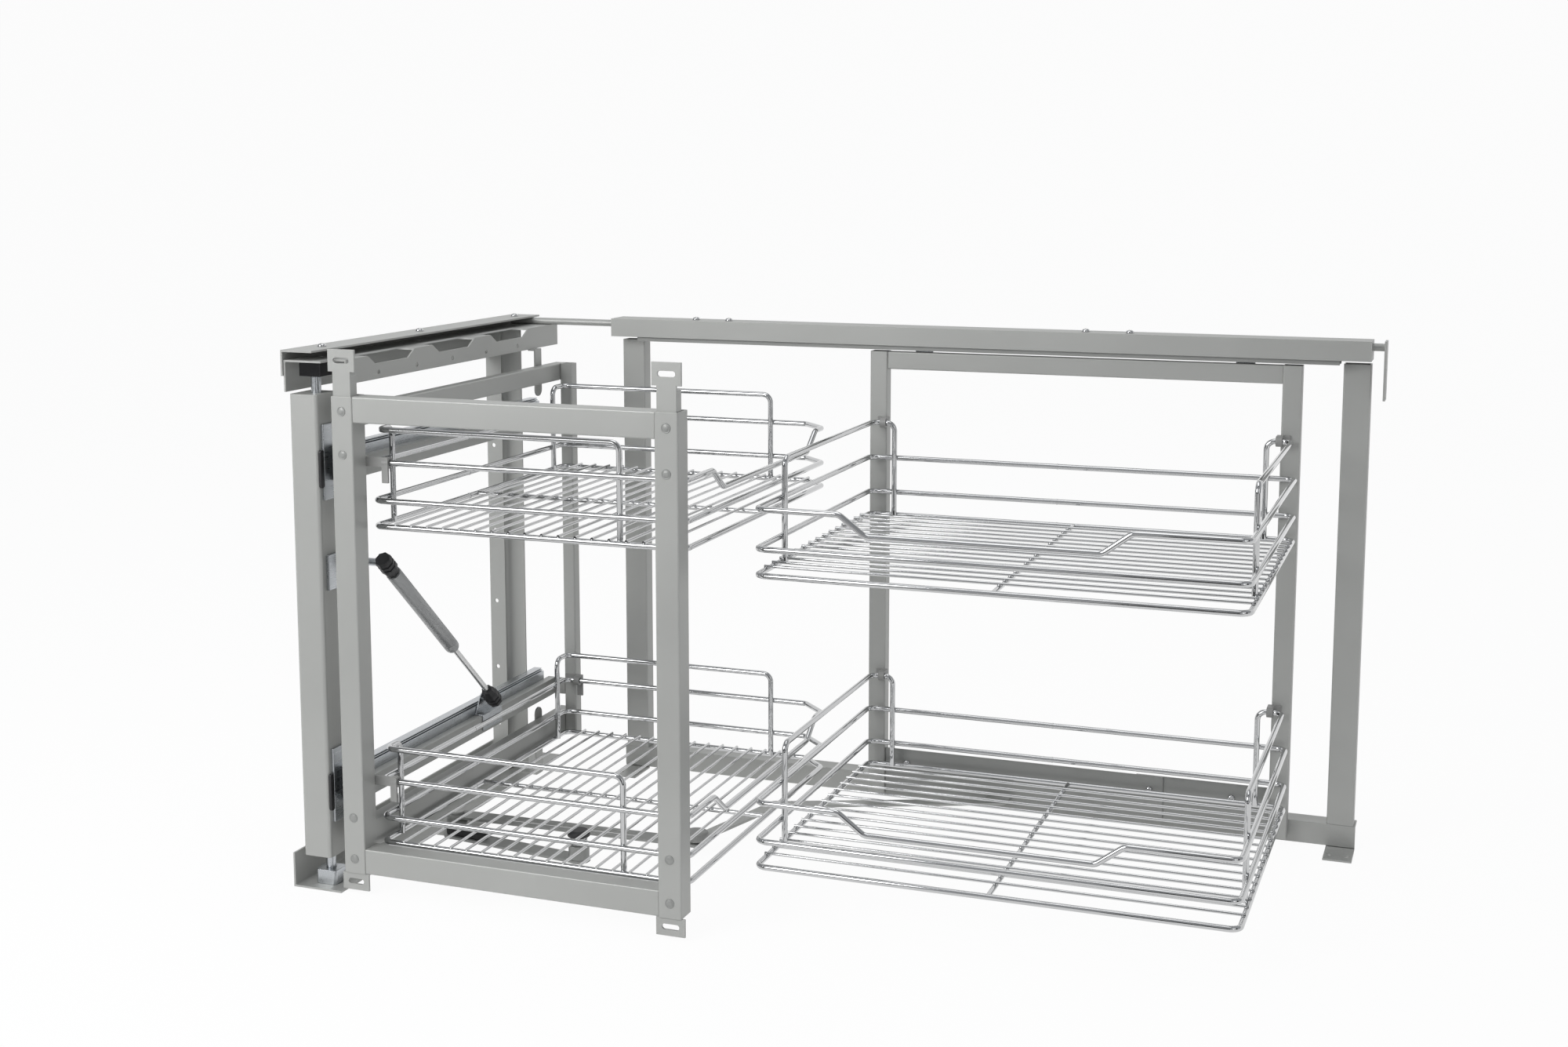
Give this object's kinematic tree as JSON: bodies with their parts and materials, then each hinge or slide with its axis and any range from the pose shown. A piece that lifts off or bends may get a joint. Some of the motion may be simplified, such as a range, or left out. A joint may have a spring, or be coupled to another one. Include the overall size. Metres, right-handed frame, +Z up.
{
  "type": "blind corner pull out",
  "caption": "Corner cabinet fitting: a front unit of wire baskets slides out on runners from a swivel column, and a rear unit of wire baskets rolls on a rail, joined by a floor linkage.",
  "frame": {"origin": "on the floor, on the axis of the swivel column", "axes": "+X to the blind side, +Y to the back of the cabinet, +Z up"},
  "size_m": [1.0245, 0.507, 0.5552],
  "materials": {
    "silver_paint": "silver-grey powder coat, satin",
    "dark_paint": "grey powder coat, satin",
    "zinc": "bright zinc plate",
    "chrome": "polished chrome plate",
    "black_plastic": "moulded, matt",
    "grey_plastic": "moulded, matt",
    "strut_paint": "grey lacquer, satin",
    "rubber": "matt"
  },
  "bodies": {
    "fixed_frame": {"base_channel": "silver_paint", "rear_upright": "silver_paint", "top_channel": "silver_paint", "top_angle": "silver_paint", "frame_screws": "chrome", "lower_bearing": "zinc", "upper_bearing": "zinc", "upper_stop": "silver_paint", "lower_stop": "silver_paint", "tie_rod": "silver_paint", "rail_cover": "silver_paint", "rail_track": "dark_paint", "rear_posts": "silver_paint", "bottom_rail": "silver_paint", "rail_feet": "silver_paint", "wall_bracket": "silver_paint", "pivot_plate": "silver_paint"},
    "swing_frame": {"column": "silver_paint", "column_pins": "zinc", "slide_brackets": "zinc", "slide_bumpers": "black_plastic", "slide_outers": "zinc", "strut_anchor": "zinc"},
    "slide_middle_members": {"slide_middles": "zinc"},
    "front_carriage": {"front_post_left": "silver_paint", "front_post_right": "silver_paint", "front_beams": "silver_paint", "door_brackets": "silver_paint", "frame_rivets": "dark_paint", "side_beams": "silver_paint", "slide_beams": "silver_paint", "slide_inners": "zinc", "back_post": "silver_paint", "strut_bracket": "zinc", "bracket_screws": "chrome", "front_hooks": "grey_plastic", "front_upper_basket": "chrome", "front_lower_basket": "chrome"},
    "strut_lower": {"strut_rod": "zinc", "strut_socket_lower": "black_plastic"},
    "strut_upper": {"strut_cylinder": "strut_paint", "strut_socket_upper": "black_plastic"},
    "rear_carriage": {"carriage_posts": "silver_paint", "carriage_top_bar": "silver_paint", "carriage_plate_left": "dark_paint", "carriage_plate_right": "dark_paint", "plate_screws": "chrome", "roller_hangers": "zinc", "rear_hooks": "grey_plastic", "rear_upper_basket": "chrome", "rear_lower_basket": "chrome"},
    "wheel_left": {"roller_left": "black_plastic"},
    "wheel_right": {"roller_right": "black_plastic"},
    "crank": {"crank_arm": "dark_paint", "catch_arm": "dark_paint", "catch_rubber": "rubber", "catch_spring": "chrome", "elbow_cap": "grey_plastic"},
    "link": {"link_strap": "silver_paint"},
    "knob": {"catch_knob": "black_plastic"}
  },
  "joints": [
    {"name": "column_swing", "type": "hinge", "parent": "fixed_frame", "child": "swing_frame", "pos_m": [0, 0, 0.03], "axis": [0, 0, -1], "range_deg": [0, 2.5]},
    {"name": "front_pull", "type": "slide", "parent": "swing_frame", "child": "front_carriage", "axis": [0, -1, 0], "range_m": [0, 0.4]},
    {"name": "slide_middle", "type": "slide", "parent": "swing_frame", "child": "slide_middle_members", "axis": [0, -1, 0], "range_m": [0, 0.2001]},
    {"name": "strut_tilt", "type": "hinge", "parent": "front_carriage", "child": "strut_lower", "pos_m": [0.0415, 0.272, 0.128], "axis": [1, 0, 0], "range_deg": [-90, 0]},
    {"name": "strut_stroke", "type": "slide", "parent": "strut_lower", "child": "strut_upper", "axis": [0, -0.7399, 0.6727], "range_m": [-0.0285, 0]},
    {"name": "rear_slide", "type": "slide", "parent": "fixed_frame", "child": "rear_carriage", "axis": [1, 0, 0], "range_m": [-0.016, 0.016]},
    {"name": "wheel_left_turn", "type": "hinge", "parent": "rear_carriage", "child": "wheel_left", "pos_m": [0.497, 0.455, 0.5358], "axis": [0, 1, 0], "range_deg": [-150, 150]},
    {"name": "wheel_right_turn", "type": "hinge", "parent": "rear_carriage", "child": "wheel_right", "pos_m": [0.851, 0.455, 0.5358], "axis": [0, 1, 0], "range_deg": [-150, 150]},
    {"name": "crank_turn", "type": "hinge", "parent": "fixed_frame", "child": "crank", "pos_m": [0.035, 0.197, 0.0135], "axis": [0, 0, 1], "range_deg": [-4.8, 5.2]},
    {"name": "link_turn", "type": "hinge", "parent": "rear_carriage", "child": "link", "pos_m": [0.594, 0.436, 0.0175], "axis": [0, 0, 1], "range_deg": [-5.5, 5]},
    {"name": "knob_press", "type": "slide", "parent": "crank", "child": "knob", "axis": [0, 0, -1], "range_m": [0, 0.004], "stiffness_N_per_m": 600, "deforming": ["catch_spring"]}
  ],
  "couplings": [
    {"joint": "slide_middle", "follows": "front_pull", "ratio": 0.5},
    {"joint": "strut_tilt", "follows": "front_pull", "rad_per_m": -3.9145},
    {"joint": "strut_stroke", "follows": "front_pull", "ratio": -0.070622},
    {"joint": "wheel_left_turn", "follows": "rear_slide", "rad_per_m": 125},
    {"joint": "wheel_right_turn", "follows": "rear_slide", "rad_per_m": 125},
    {"joint": "crank_turn", "follows": "rear_slide", "rad_per_m": 4.2364},
    {"joint": "link_turn", "follows": "rear_slide", "rad_per_m": -4.4382}
  ]
}
